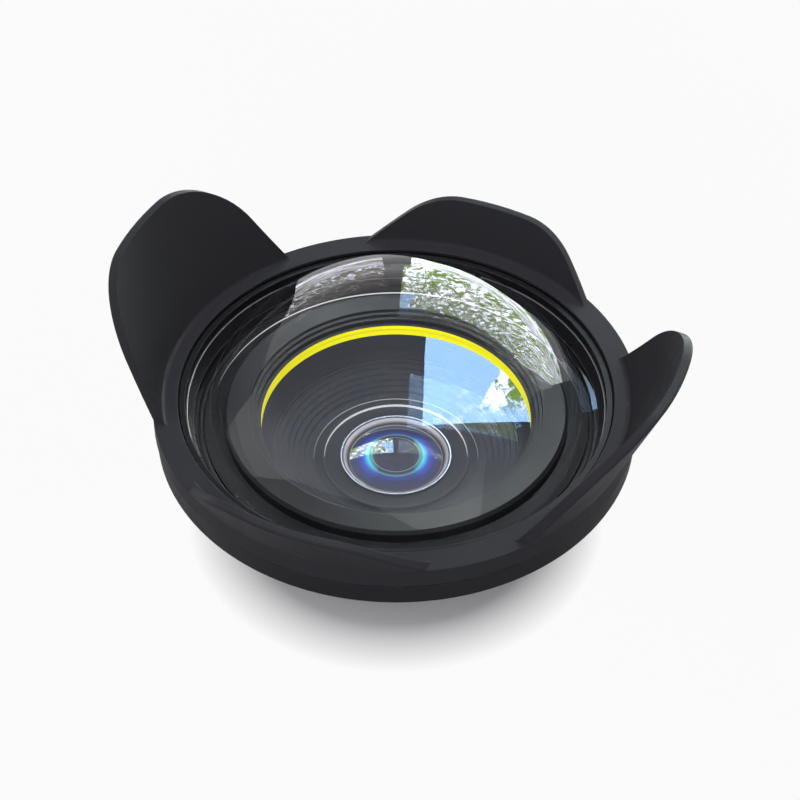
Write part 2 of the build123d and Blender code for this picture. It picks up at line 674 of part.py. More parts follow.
with BuildPart() as hood:
    with BuildSketch(Plane.XZ) as hood_section:
        with BuildLine():
            Polyline(
                (hood_bore_r, hood_low_z),
                (hood_r - HOOD_CHAMFER, hood_low_z),
                (hood_r, hood_low_z + HOOD_CHAMFER),
                (hood_r, ledge_z),
                (hood_r + LONG_HEIGHT * flare_rise, petal_top_z),
                (petal_root_r + LONG_HEIGHT * flare_rise, petal_top_z),
                (petal_root_r, ledge_z),
                (hood_ledge_inner_r, ledge_z),
                (hood_ledge_inner_r, ledge_z - HOOD_LEDGE_T),
                (hood_bore_r, ledge_z - HOOD_LEDGE_T),
                close=True,
            )
        make_face()
        petal_root = hood_section.vertices().sort_by_distance((petal_root_r, ledge_z))[0]
        fillet(petal_root, PETAL_ROOT_R)
    revolve(axis=Axis.Z)
    add(petal_gaps.part, mode=Mode.SUBTRACT)
    fillet([edge for edge in hood.edges() if on_outer_rim(edge)], PETAL_RIM_R)
    for angle in LOCK_SCREW_ANGLES:
        hole_r = LOCK_SCREW_R + RUNNING_FIT
        radial_cylinder(angle, lock_hole_z, hole_r, slip_ring_outer_r, hood_r + 1, Mode.SUBTRACT)

# Lock screws: backed off a hair at rest, so that the hood is free to turn
lock_tip_r = slip_ring_outer_r + LOCK_SCREW_BACK_OFF
lock_end_r = lock_tip_r + LOCK_SCREW_LENGTH
with BuildPart() as hood_lock_screw_1:
    radial_cylinder(LOCK_SCREW_ANGLES[0], lock_hole_z, LOCK_SCREW_R, lock_tip_r, lock_end_r)
    radial_socket(LOCK_SCREW_ANGLES[0], lock_hole_z, LOCK_SCREW_R, lock_end_r)

with BuildPart() as hood_lock_screw_2:
    radial_cylinder(LOCK_SCREW_ANGLES[1], lock_hole_z, LOCK_SCREW_R, lock_tip_r, lock_end_r)
    radial_socket(LOCK_SCREW_ANGLES[1], lock_hole_z, LOCK_SCREW_R, lock_end_r)

pieces = {
    "mount_ring": mount_ring,
    "mount_lock_screws": mount_lock_screws,
    "rear_shell": rear_shell,
    "rear_lens": rear_lens,
    "rear_lens_seal": rear_lens_seal,
    "rear_retaining_ring": rear_retaining_ring,
    "lens_cell": lens_cell,
    "cell_retaining_ring": cell_retaining_ring,
    "fourth_lens": fourth_lens,
    "lower_spacer": lower_spacer,
    "aperture_stop": aperture_stop,
    "upper_spacer": upper_spacer,
    "third_lens": third_lens,
    "silver_bezel": silver_bezel,
    "name_ring": name_ring,
    "inner_trim_ring": inner_trim_ring,
    "outer_trim_ring": outer_trim_ring,
    "light_trap": light_trap,
    "second_lens_shim": second_lens_shim,
    "second_lens": second_lens,
    "yellow_ring": yellow_ring,
    "baffle_ring": baffle_ring,
    "front_shell": front_shell,
    "shell_seal": shell_seal,
    "dome_seal": dome_seal,
    "dome_glass": dome_glass,
    "dome_retaining_ring": dome_retaining_ring,
    "hood_slip_ring": hood_slip_ring,
    "hood": hood,
    "hood_lock_screw_1": hood_lock_screw_1,
    "hood_lock_screw_2": hood_lock_screw_2,
}
for name, piece in pieces.items():
    piece.part.label = name
    export_step(piece.part, f"parts/{name}.step")
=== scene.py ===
"""Finishes, thread and studio of an underwater wide-angle lens with a petal hood.

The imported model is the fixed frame. Lengths here are metres in its frame: the lens stands on z = 0 and
looks up along +Z, with the long petals on X and the short petals on Y.
"""

import logging
import math
from abc import ABC, abstractmethod
from dataclasses import dataclass
from enum import Enum
from typing import Sequence

import bpy
from mathutils import Matrix, Vector

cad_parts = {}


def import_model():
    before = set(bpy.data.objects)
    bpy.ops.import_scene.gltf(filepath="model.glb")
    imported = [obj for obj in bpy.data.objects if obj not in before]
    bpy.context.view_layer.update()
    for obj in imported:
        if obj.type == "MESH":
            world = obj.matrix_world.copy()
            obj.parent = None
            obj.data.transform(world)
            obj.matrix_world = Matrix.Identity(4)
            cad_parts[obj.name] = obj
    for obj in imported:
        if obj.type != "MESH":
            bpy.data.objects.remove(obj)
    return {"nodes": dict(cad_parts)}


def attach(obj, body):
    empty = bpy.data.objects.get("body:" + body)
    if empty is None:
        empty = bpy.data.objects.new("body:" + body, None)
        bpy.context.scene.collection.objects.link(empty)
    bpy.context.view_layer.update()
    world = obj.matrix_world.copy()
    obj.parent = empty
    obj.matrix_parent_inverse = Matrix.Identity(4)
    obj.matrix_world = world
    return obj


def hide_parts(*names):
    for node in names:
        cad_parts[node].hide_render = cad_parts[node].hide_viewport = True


logging.basicConfig(level=logging.INFO, format="%(message)s")
LOG = logging.getLogger("wide_angle_lens")

Colour = tuple[float, float, float]
Point = tuple[float, float, float]
Socket = bpy.types.NodeSocket
Outputs = bpy.types.NodeOutputs

MM = 0.001

# Depth of the lathe's marks on bare and bright rings.
MARK_DEPTH = 0.003 * MM

# How far round the camera stands, and its level directions.
AZIMUTH = math.radians(24.25)
RIGHT = Vector((math.cos(AZIMUTH), math.sin(AZIMUTH), 0.0))
FORWARD = Vector((-math.sin(AZIMUTH), math.cos(AZIMUTH), 0.0))

# The CAD's pieces by name.
NODES: dict[str, bpy.types.Object] = {}


class Shader(Enum):
    """The plain shaders that materials and the room are mixed from."""

    CLEAR = "ShaderNodeBsdfTransparent"
    MIRROR = "ShaderNodeBsdfGlossy"
    MATT = "ShaderNodeBsdfDiffuse"
    GLOW = "ShaderNodeEmission"
    ROOM = "ShaderNodeBackground"


class Wiring:
    """Adds nodes to one node tree and joins them, one call for each node."""

    def __init__(self, tree: bpy.types.NodeTree) -> None:
        """Starts on a tree.

        Args:
            tree: The material's, world's or group's node tree.
        """
        self.tree = tree
        self.output: bpy.types.Node | None = None

    @classmethod
    def of(cls, owner: bpy.types.Material | bpy.types.World) -> "Wiring":
        """Starts on the emptied tree of a new material or world.

        Args:
            owner: The material or world.

        Returns:
            Its wiring.
        """
        owner.use_nodes = True
        owner.node_tree.nodes.clear()
        return cls(owner.node_tree)

    def show(self, shader: Socket, kind: str = "ShaderNodeOutputMaterial") -> None:
        """Ends the tree in a shader, in place of the one that it ended in before.

        Args:
            shader: The shader's output.
            kind: The output node's type name.
        """
        if self.output is None:
            self.output = self.node(kind)
        self.feed(self.output.inputs["Surface"], shader)

    def node(self, kind: str, **settings: object) -> bpy.types.Node:
        """Adds a node.

        Args:
            kind: The node's type name.
            **settings: Attributes to set on it.

        Returns:
            The new node.
        """
        made = self.tree.nodes.new(kind)
        for name, value in settings.items():
            setattr(made, name, value)
        return made

    def feed(self, target: Socket, source: object) -> None:
        """Links a socket to a target, or sets the target to a plain value.

        Args:
            target: The input to feed.
            source: An output socket, a number, a vector or a tuple of numbers.
        """
        if isinstance(source, bpy.types.NodeSocket):
            self.tree.links.new(source, target)
        elif isinstance(source, tuple) and len(source) == 3 and len(target.default_value) == 4:
            target.default_value = (*source, 1.0)
        else:
            target.default_value = source

    def fed(self, made: bpy.types.Node, sources: Sequence[object]) -> Outputs:
        """Feeds a node's inputs in order.

        Args:
            made: The node.
            sources: What to feed them.

        Returns:
            The node's outputs.
        """
        for target, source in zip(made.inputs, sources):
            self.feed(target, source)
        return made.outputs

    def shader(self, kind: Shader, **inputs: object) -> Socket:
        """Adds a plain shader.

        Args:
            kind: Which shader.
            **inputs: Its inputs by label.

        Returns:
            Its output.
        """
        made = self.node(kind.value)
        for label, source in inputs.items():
            self.feed(made.inputs[label], source)
        return made.outputs[0]

    def mix(self, share: object, first: Socket, second: Socket) -> Socket:
        """Mixes two shaders, with a share of the second."""
        return self.fed(self.node("ShaderNodeMixShader"), (share, first, second))[0]

    def maths(self, operation: str, *values: object, clamp: bool = False) -> Socket:
        """A Math node's result, held between 0 and 1 if it is clamped."""
        return self.fed(self.node("ShaderNodeMath", operation=operation, use_clamp=clamp), values)[0]

    def vector(self, operation: str, *values: object) -> Socket:
        """The vector that a Vector Math node gives."""
        return self.fed(self.node("ShaderNodeVectorMath", operation=operation), values)["Vector"]

    def measure(self, operation: str, *values: object) -> Socket:
        """The number that a Vector Math node gives."""
        return self.fed(self.node("ShaderNodeVectorMath", operation=operation), values)["Value"]

    def along(self, at: object, way: object) -> Socket:
        """How far a place lies, or a direction points, along another direction."""
        return self.measure("DOT_PRODUCT", at, way)

    def upward(self, at: Socket) -> Socket:
        """The Z part of a place or direction."""
        return self.fed(self.node("ShaderNodeSeparateXYZ"), (at,))["Z"]

    def radius(self, at: Socket) -> Socket:
        """Distance of a place from the optical axis."""
        return self.measure("LENGTH", self.vector("MULTIPLY", at, (1.0, 1.0, 0.0)))

    def position(self) -> Socket:
        """The surface point in the piece's own frame."""
        return self.node("ShaderNodeTexCoord").outputs["Object"]

    def normal(self) -> Socket:
        """The surface's normal."""
        return self.node("ShaderNodeNewGeometry").outputs["Normal"]

    def backfacing(self) -> Socket:
        """1 where the surface is seen from its inner side."""
        return self.node("ShaderNodeNewGeometry").outputs["Backfacing"]

    def noise(self, at: Socket, scale: object, detail: float = 2.0, rough: float = 0.5) -> Socket:
        """A noise value between 0 and 1.

        Args:
            at: Where to read it.
            scale: Waves per metre.
            detail: Octaves.
            rough: Share of each finer octave.

        Returns:
            The noise's value.
        """
        made = self.node("ShaderNodeTexNoise")
        inputs = {"Vector": at, "Scale": scale, "Detail": detail, "Roughness": rough}
        for label, source in inputs.items():
            self.feed(made.inputs[label], source)
        return made.outputs["Fac"]

    def spread(
        self, value: Socket, low: float, high: float, to_low: float = 0.0, to_high: float = 1.0
    ) -> Socket:
        """Maps a range of a value onto another, held at both ends.

        Args:
            value: The value.
            low: Its level that gives to_low.
            high: Its level that gives to_high.
            to_low: The lower result.
            to_high: The upper result.

        Returns:
            The mapped value.
        """
        levels = (value, low, high, to_low, to_high)
        return self.fed(self.node("ShaderNodeMapRange"), levels)["Result"]

    def wander(self, tone: Socket, low: float = 0.0, high: float = 1.0) -> Socket:
        """Lets a value wander between two levels with a noise, whose own levels lie about 0.3 to 0.7."""
        return self.spread(tone, 0.3, 0.7, low, high)

    def blend(self, share: object, first: object, second: object) -> Socket:
        """Mixes two colours.

        Args:
            share: How much of the second.
            first: The colour at 0.
            second: The colour at 1.

        Returns:
            The mixed colour.
        """
        made = self.node("ShaderNodeMix", data_type="RGBA")
        self.feed(made.inputs[0], share)
        self.feed(made.inputs[6], first)
        self.feed(made.inputs[7], second)
        return made.outputs[2]


class Effects:
    """Surface effects that several finishes share, each one node group built once."""

    def __init__(self) -> None:
        """Builds the groups."""
        self.edge_wear = self._edge_wear()
        self.moulded_grain = self._moulded_grain()
        self.turned_marks = self._turned_marks()
        self.dust_film = self._dust_film()

    @staticmethod
    def _group(
        name: str, inputs: dict[str, float], outputs: Sequence[str]
    ) -> tuple[Wiring, Outputs, bpy.types.NodeInputs]:
        """Starts a group of plain float sockets.

        Args:
            name: The group's name.
            inputs: Its inputs and their defaults.
            outputs: Its outputs.

        Returns:
            Its wiring, its inputs as seen inside it, and its outputs to feed.
        """
        tree = bpy.data.node_groups.new(name, "ShaderNodeTree")
        for label, default in inputs.items():
            socket = tree.interface.new_socket(name=label, in_out="INPUT", socket_type="NodeSocketFloat")
            socket.default_value = default
        for label in outputs:
            tree.interface.new_socket(name=label, in_out="OUTPUT", socket_type="NodeSocketFloat")
        wiring = Wiring(tree)
        return wiring, wiring.node("NodeGroupInput").outputs, wiring.node("NodeGroupOutput").inputs

    def _edge_wear(self) -> bpy.types.NodeTree:
        """A mask of the convex edges, broken up by noise as far as it isn't solid.

        Returns:
            The group.
        """
        inputs = {"Width": 0.3 * MM, "Breakup": 400.0, "Solid": 0.0, "Amount": 0.5}
        wiring, given, out = self._group("edge_wear", inputs, ("Mask",))
        bevel = wiring.node("ShaderNodeBevel", samples=6)
        wiring.feed(bevel.inputs["Radius"], given["Width"])
        edge = wiring.spread(wiring.along(bevel.outputs["Normal"], wiring.normal()), 0.995, 0.9)
        noise = wiring.noise(wiring.position(), given["Breakup"], 4.0, 0.6)
        patches = wiring.maths("MAXIMUM", wiring.spread(noise, 0.38, 0.62), given["Solid"])
        mask = wiring.maths("MULTIPLY", wiring.maths("MULTIPLY", edge, patches), given["Amount"])
        wiring.feed(out["Mask"], mask)
        return wiring.tree

    def _moulded_grain(self) -> bpy.types.NodeTree:
        """The fine leathery grain of moulded plastic, and a slow mottle.

        Returns:
            The group.
        """
        inputs = {"Grain": 5000.0, "Mottle": 60.0}
        wiring, given, out = self._group("moulded_grain", inputs, ("Height", "Tone"))
        at = wiring.position()
        cells = wiring.node("ShaderNodeTexVoronoi", feature="SMOOTH_F1")
        wiring.feed(cells.inputs["Vector"], at)
        wiring.feed(cells.inputs["Scale"], given["Grain"])
        wiring.feed(out["Height"], cells.outputs["Distance"])
        wiring.feed(out["Tone"], wiring.noise(at, given["Mottle"], 5.0, 0.65))
        return wiring.tree

    def _turned_marks(self) -> bpy.types.NodeTree:
        """The fine rings that a lathe leaves about the optical axis.

        Returns:
            The group.
        """
        inputs = {"Rings": 6000.0, "Waver": 80.0}
        wiring, given, out = self._group("turned_marks", inputs, ("Height", "Tone"))
        at = wiring.position()
        rings = wiring.node("ShaderNodeCombineXYZ")
        wiring.feed(rings.inputs["X"], wiring.radius(at))
        wiring.feed(rings.inputs["Z"], wiring.upward(at))
        wiring.feed(out["Height"], wiring.noise(rings.outputs[0], given["Rings"], 3.0, 0.7))
        wiring.feed(out["Tone"], wiring.noise(at, given["Waver"], 4.0, 0.6))
        return wiring.tree

    def _dust_film(self) -> bpy.types.NodeTree:
        """Fine dust on what faces up, thicker in patches.

        Returns:
            The group.
        """
        wiring, given, out = self._group("dust_film", {"Amount": 0.1, "Speck": 900.0}, ("Mask",))
        at = wiring.position()
        facing_up = wiring.spread(wiring.upward(wiring.normal()), 0.2, 0.95)
        patches = wiring.spread(wiring.noise(at, 45.0, 4.0, 0.6), 0.35, 0.75)
        specks = wiring.spread(wiring.noise(at, given["Speck"]), 0.66, 0.74)
        film = wiring.maths("MULTIPLY_ADD", specks, 2.0, 0.35)
        mask = wiring.maths("MULTIPLY", wiring.maths("MULTIPLY", facing_up, patches), film)
        wiring.feed(out["Mask"], wiring.maths("MULTIPLY", mask, given["Amount"], clamp=True))
        return wiring.tree


class Surface:
    """A material being made: its wiring, its Principled shader and the shared effects."""

    def __init__(self, name: str, effects: Effects) -> None:
        """Starts an empty material with one Principled shader.

        Args:
            name: The material's name.
            effects: The shared effects.
        """
        self.material = bpy.data.materials.new(name)
        self.wiring = Wiring.of(self.material)
        self.effects = effects
        self.shader = self.wiring.node("ShaderNodeBsdfPrincipled")
        self.wiring.show(self.shader.outputs[0])

    def effect(self, group: bpy.types.NodeTree, **values: float) -> Outputs:
        """Places a shared effect with its own values.

        Args:
            group: One of the effects' groups.
            **values: Its inputs.

        Returns:
            Its outputs.
        """
        made = self.wiring.node("ShaderNodeGroup", node_tree=group)
        for label, value in values.items():
            made.inputs[label].default_value = value
        return made.outputs

    def set(self, label: str, value: object) -> None:
        """Feeds one of the Principled shader's inputs."""
        self.wiring.feed(self.shader.inputs[label], value)

    def with_painted_glow(self, colour: Socket, strength: object) -> None:
        """Gives the surface a colour, and lets it give off light in that colour as painted light.

        Args:
            colour: The colour.
            strength: How much it glows.
        """
        self.set("Base Color", colour)
        self.set("Emission Color", colour)
        self.set("Emission Strength", strength)

    def roughness(self, tone: Socket, low: float, high: float) -> None:
        """Lets the roughness wander between two levels with a noise."""
        self.set("Roughness", self.wiring.wander(tone, low, high))

    def relief(self, height: Socket, depth: float, edge_radius: float = 0.0) -> None:
        """Gives the shader fine relief, on edges that are rounded off.

        Args:
            height: The relief's height, from 0 to 1.
            depth: Its real depth.
            edge_radius: How far round the edges are rounded, or 0 for none.
        """
        bump = self.wiring.node("ShaderNodeBump")
        bump.inputs["Distance"].default_value = depth
        self.wiring.feed(bump.inputs["Height"], height)
        if edge_radius:
            bevel = self.wiring.node("ShaderNodeBevel", samples=6)
            bevel.inputs["Radius"].default_value = edge_radius
            self.wiring.feed(bump.inputs["Normal"], bevel.outputs["Normal"])
        self.set("Normal", bump.outputs["Normal"])

    def radius(self) -> Socket:
        """Distance of the surface point from the optical axis."""
        return self.wiring.radius(self.wiring.position())

    def height(self) -> Socket:
        """Height of the surface point above the rest plane."""
        return self.wiring.upward(self.wiring.position())

    def flatness(self) -> Socket:
        """1 on what faces up or down, 0 on upright walls."""
        upward = self.wiring.upward(self.wiring.normal())
        return self.wiring.maths("GREATER_THAN", self.wiring.maths("ABSOLUTE", upward), 0.5)

    def inward(self) -> Socket:
        """1 on walls that face the optical axis, else 0.

        Returns:
            The mask.
        """
        wiring = self.wiring
        outward = wiring.along(wiring.normal(), wiring.position())
        upright = wiring.maths("SUBTRACT", 1.0, self.flatness())
        return wiring.maths("MULTIPLY", upright, wiring.maths("LESS_THAN", outward, 0.0))

    def ringed(self, stops: Sequence[tuple[float, Colour]], reach: float) -> Socket:
        """Colours the surface in rings about the optical axis.

        Args:
            stops: Radius and colour of each ring.
            reach: The largest radius.

        Returns:
            The colour.
        """
        ramp = self.wiring.node("ShaderNodeValToRGB")
        elements = ramp.color_ramp.elements
        while len(elements) < len(stops):
            elements.new(0.5)
        for element, (radius, colour) in zip(elements, stops):
            element.position = radius / reach
            element.color = (*colour, 1.0)
        self.wiring.feed(ramp.inputs["Fac"], self.wiring.maths("DIVIDE", self.radius(), reach))
        return ramp.outputs["Color"]

    def streaked(self, amount: float) -> None:
        """Draws the shader's highlights out across the turned rings.

        Args:
            amount: How far, from 0 to 1.
        """
        tangent = self.wiring.node("ShaderNodeTangent", direction_type="RADIAL", axis="Z")
        self.set("Anisotropic", amount)
        self.set("Tangent", tangent.outputs[0])

    def mirror_share(self, head_on: float, inside: float = 0.2) -> Socket:
        """How much clear glass mirrors at each angle, by Schlick's curve.

        Args:
            head_on: The share that it mirrors of a ray square to it.
            inside: How much of that it mirrors back inside the glass, from 0 to 1.

        Returns:
            The share.
        """
        wiring = self.wiring
        slope = wiring.node("ShaderNodeLayerWeight")
        slope.inputs["Blend"].default_value = 0.5
        fifth = wiring.maths("POWER", slope.outputs["Facing"], 5.0)
        share = wiring.maths("MULTIPLY_ADD", fifth, 1.0 - head_on, head_on)
        kept = wiring.maths("MULTIPLY_ADD", wiring.backfacing(), inside - 1.0, 1.0)
        return wiring.maths("MULTIPLY", share, kept)

    def flattened(self, slope: float) -> Socket:
        """The surface's normal, with only a share of its lean from the optical axis."""
        leant = self.wiring.vector("MULTIPLY", self.wiring.normal(), (slope, slope, 1.0))
        return self.wiring.vector("NORMALIZE", leant)

    def glassy(
        self, head_on: float, tint: Colour, passed: Colour = (1.0, 1.0, 1.0), slope: float = 1.0
    ) -> Socket:
        """Swaps the Principled shader for clear glass that doesn't bend what is behind it.

        Args:
            head_on: The share mirrored head on.
            tint: Colour of the mirrored light.
            passed: Colour of the light let through.
            slope: Share of the surface's lean that its mirror image shows.

        Returns:
            The clear and the mirroring shader, mixed.
        """
        self.wiring.tree.nodes.remove(self.shader)
        clear = self.wiring.shader(Shader.CLEAR, Color=passed)
        leant = {"Normal": self.flattened(slope)} if slope < 1.0 else {}
        mirror = self.wiring.shader(Shader.MIRROR, Roughness=0.0, Color=tint, **leant)
        glass = self.wiring.mix(self.mirror_share(head_on), clear, mirror)
        self.wiring.show(glass)
        return glass


class Finish(ABC):
    """A finish of the real lens."""

    def material(self, name: str, effects: Effects) -> bpy.types.Material:
        """Makes the finish into a material.

        Args:
            name: The material's name.
            effects: The shared effects.

        Returns:
            The material.
        """
        surface = Surface(name, effects)
        self.wire(surface, surface.wiring)
        return surface.material

    @abstractmethod
    def wire(self, surface: Surface, wiring: Wiring) -> None:
        """Wires the material being made."""


@dataclass(frozen=True)
class MouldedSatin(Finish):
    """Satin black moulded plastic."""

    colour: Colour = (0.0268, 0.0267, 0.0312)
    # Colour of the rubbed edges: wear, and a painted highlight along the rims.
    rubbed_and_highlit: Colour = (0.034, 0.035, 0.04)
    dusty: Colour = (0.32, 0.32, 0.33)
    roughness: float = 0.42
    shine: float = 0.09
    grain: float = 4200.0
    grain_depth: float = 0.012 * MM
    edge: float = 0.35 * MM
    dust: float = 0.04

    def wire(self, surface: Surface, wiring: Wiring) -> None:
        """Wires the grain, the wear and painted highlight on the edges, and the dust.

        Args:
            surface: The material being made.
            wiring: Its wiring.
        """
        effects = surface.effects
        grain = surface.effect(effects.moulded_grain, Grain=self.grain, Mottle=70.0)
        wear = surface.effect(effects.edge_wear, Width=self.edge, Breakup=260.0, Amount=0.8)
        dust = surface.effect(effects.dust_film, Amount=self.dust)
        worn_and_highlit = wiring.blend(wear["Mask"], self.colour, self.rubbed_and_highlit)
        surface.set("Base Color", wiring.blend(dust["Mask"], worn_and_highlit, self.dusty))
        surface.roughness(grain["Tone"], self.roughness - 0.07, self.roughness + 0.09)
        surface.set("Specular IOR Level", self.shine)
        surface.relief(grain["Height"], self.grain_depth, self.edge)


@dataclass(frozen=True)
class Anodised(Finish):
    """Anodised aluminium with the lathe's marks under it."""

    colour: Colour
    roughness: float = 0.34
    shine: float = 0.4
    rings: float = 5200.0
    mark_depth: float = 0.004 * MM
    edge: float = 0.18 * MM
    bare: Colour = (0.42, 0.43, 0.45)
    dusty: Colour = (0.34, 0.34, 0.34)
    wear: float = 0.35
    solid: float = 0.0
    edge_metal: float = 0.0
    dust: float = 0.04
    streak: float = 0.6

    def wire(self, surface: Surface, wiring: Wiring) -> None:
        """Wires the lathe's marks, the lighter edges, which are wear and on the dome ring's lip a painted
        highlight, and the dust.

        Args:
            surface: The material being made.
            wiring: Its wiring.
        """
        effects = surface.effects
        marks = surface.effect(effects.turned_marks, Rings=self.rings, Waver=90.0)
        wear = surface.effect(
            effects.edge_wear, Width=self.edge, Breakup=520.0, Solid=self.solid, Amount=self.wear
        )
        dust = surface.effect(effects.dust_film, Amount=self.dust)
        worn_and_highlit = wiring.blend(wear["Mask"], self.colour, self.bare)
        surface.set("Base Color", wiring.blend(dust["Mask"], worn_and_highlit, self.dusty))
        surface.roughness(marks["Tone"], self.roughness - 0.06, self.roughness + 0.08)
        surface.set("Specular IOR Level", self.shine)
        surface.set("Metallic", wiring.maths("MULTIPLY", wear["Mask"], self.edge_metal))
        surface.streaked(self.streak)
        surface.relief(marks["Height"], self.mark_depth, self.edge)


@dataclass(frozen=True)
class BrightWall(Finish):
    """Bright metal on the wall that faces the axis, shining as a painted highlight, and black on a ring's
    other faces as painted shade.
    """

    colour: Colour = (0.9, 0.91, 0.93)
    black: Colour = (0.014, 0.0145, 0.016)
    metallic: float = 0.35
    painted_glow: float = 0.3

    def wire(self, surface: Surface, wiring: Wiring) -> None:
        """Wires the painted highlight on the wall and the painted shade on the other faces.

        Args:
            surface: The material being made.
            wiring: Its wiring.
        """
        marks = surface.effect(surface.effects.turned_marks, Rings=12000.0, Waver=200.0)
        # Painted light: the wall facing the axis is made bright and gives off light, and the other faces are
        # black, so the ring shows bright only where its highlights fall.
        bright = surface.inward()
        surface.with_painted_glow(wiring.blend(bright, self.black, self.colour), self.painted_glow)
        surface.set("Metallic", wiring.maths("MULTIPLY", bright, self.metallic))
        surface.roughness(marks["Tone"], 0.32, 0.48)
        surface.relief(marks["Height"], MARK_DEPTH)


@dataclass(frozen=True)
class YellowWall(Finish):
    """Bright yellow on the ring's inner wall, which gives off painted light, with a darker line painted as
    the shade of one fine groove, and black on its top.
    """

    colour: Colour = (0.95, 0.9, 0.0)
    groove_shade_colour: Colour = (0.45, 0.4, 0.0)
    black: Colour = (0.012, 0.012, 0.013)
    groove_height: float = 26.3 * MM
    groove_edges: tuple[float, float] = (0.1 * MM, 0.32 * MM)
    painted_glow: float = 0.35

    def wire(self, surface: Surface, wiring: Wiring) -> None:
        """Wires the yellow wall and its painted light, the groove's painted shade and the black top.

        Args:
            surface: The material being made.
            wiring: Its wiring.
        """
        marks = surface.effect(surface.effects.turned_marks, Rings=7000.0, Waver=120.0)
        # Painted shade: a darker line at the groove's height stands for the groove's shade.
        apart = wiring.maths("ABSOLUTE", wiring.maths("SUBTRACT", surface.height(), self.groove_height))
        groove = wiring.spread(apart, *self.groove_edges, 0.75, 0.0)
        tone = wiring.wander(marks["Tone"], 0.0, 0.12)
        wall = wiring.blend(wiring.maths("MAXIMUM", groove, tone), self.colour, self.groove_shade_colour)
        # Painted light: the yellow wall gives off light of its own colour.
        surface.with_painted_glow(wiring.blend(surface.flatness(), wall, self.black), self.painted_glow)
        surface.roughness(marks["Tone"], 0.4, 0.55)
        surface.relief(marks["Height"], MARK_DEPTH)


@dataclass(frozen=True)
class BrightTurned(Finish):
    """Bare turned metal."""

    colour: Colour = (0.86, 0.87, 0.89)
    stained: float = 0.72
    roughness: float = 0.24
    metallic: float = 1.0
    rings: float = 9000.0
    edge: float = 0.1 * MM

    def wire(self, surface: Surface, wiring: Wiring) -> None:
        """Wires the metal and its slight stains.

        Args:
            surface: The material being made.
            wiring: Its wiring.
        """
        marks = surface.effect(surface.effects.turned_marks, Rings=self.rings, Waver=160.0)
        dull = tuple(self.stained * level for level in self.colour)
        stain = wiring.spread(marks["Tone"], 0.45, 0.8)
        surface.set("Base Color", wiring.blend(stain, self.colour, dull))
        surface.set("Metallic", self.metallic)
        surface.roughness(marks["Height"], self.roughness - 0.08, self.roughness + 0.1)
        surface.relief(marks["Height"], MARK_DEPTH, self.edge)


@dataclass(frozen=True)
class BezelMetal(Finish):
    """Turned metal in rings of light and dark painted by radius as its highlights and shade, giving off
    light on its flat faces, and black on the outer wall as painted shade.
    """

    # Level of each ring by radius: painted highlights on the land and slope, painted shade between them.
    rings: tuple[tuple[float, float], ...] = (
        (0.0122, 0.8),
        (0.01245, 0.08),
        (0.0128, 0.12),
        (0.0134, 1.0),
        (0.01385, 1.0),
        (0.01395, 0.05),
        (0.0142, 0.05),
        (0.01428, 0.95),
    )
    reach: float = 14.6 * MM
    wall: float = 14.58 * MM
    black: Colour = (0.02, 0.02, 0.022)
    roughness: float = 0.18
    metallic: float = 0.85
    painted_glow: float = 0.3

    def wire(self, surface: Surface, wiring: Wiring) -> None:
        """Wires the painted rings of highlight and shade, their painted light and the black wall.

        Args:
            surface: The material being made.
            wiring: Its wiring.
        """
        marks = surface.effect(surface.effects.turned_marks, Rings=9000.0, Waver=160.0)
        painted_tones = [(radius, (level, level, 1.02 * level)) for radius, level in self.rings]
        # Painted shade: the outer wall is black.
        inside = wiring.maths("LESS_THAN", surface.radius(), self.wall)
        colour = wiring.blend(inside, self.black, surface.ringed(painted_tones, self.reach))
        surface.with_painted_glow(colour, wiring.maths("MULTIPLY", surface.flatness(), self.painted_glow))
        surface.set("Metallic", self.metallic)
        surface.roughness(marks["Tone"], self.roughness - 0.06, self.roughness + 0.1)
        surface.relief(marks["Height"], MARK_DEPTH)


@dataclass(frozen=True)
class SealRubber(Finish):
    """Matt black rubber."""

    colour: Colour = (0.012, 0.012, 0.012)
    mottled: Colour = (0.022, 0.022, 0.023)
    grain_depth: float = 0.01 * MM

    def wire(self, surface: Surface, wiring: Wiring) -> None:
        """Wires the mottled rubber.

        Args:
            surface: The material being made.
            wiring: Its wiring.
        """
        grain = surface.effect(surface.effects.moulded_grain, Grain=7000.0, Mottle=200.0)
        surface.set("Base Color", wiring.blend(grain["Tone"], self.colour, self.mottled))
        surface.roughness(grain["Tone"], 0.55, 0.72)
        surface.relief(grain["Height"], self.grain_depth)


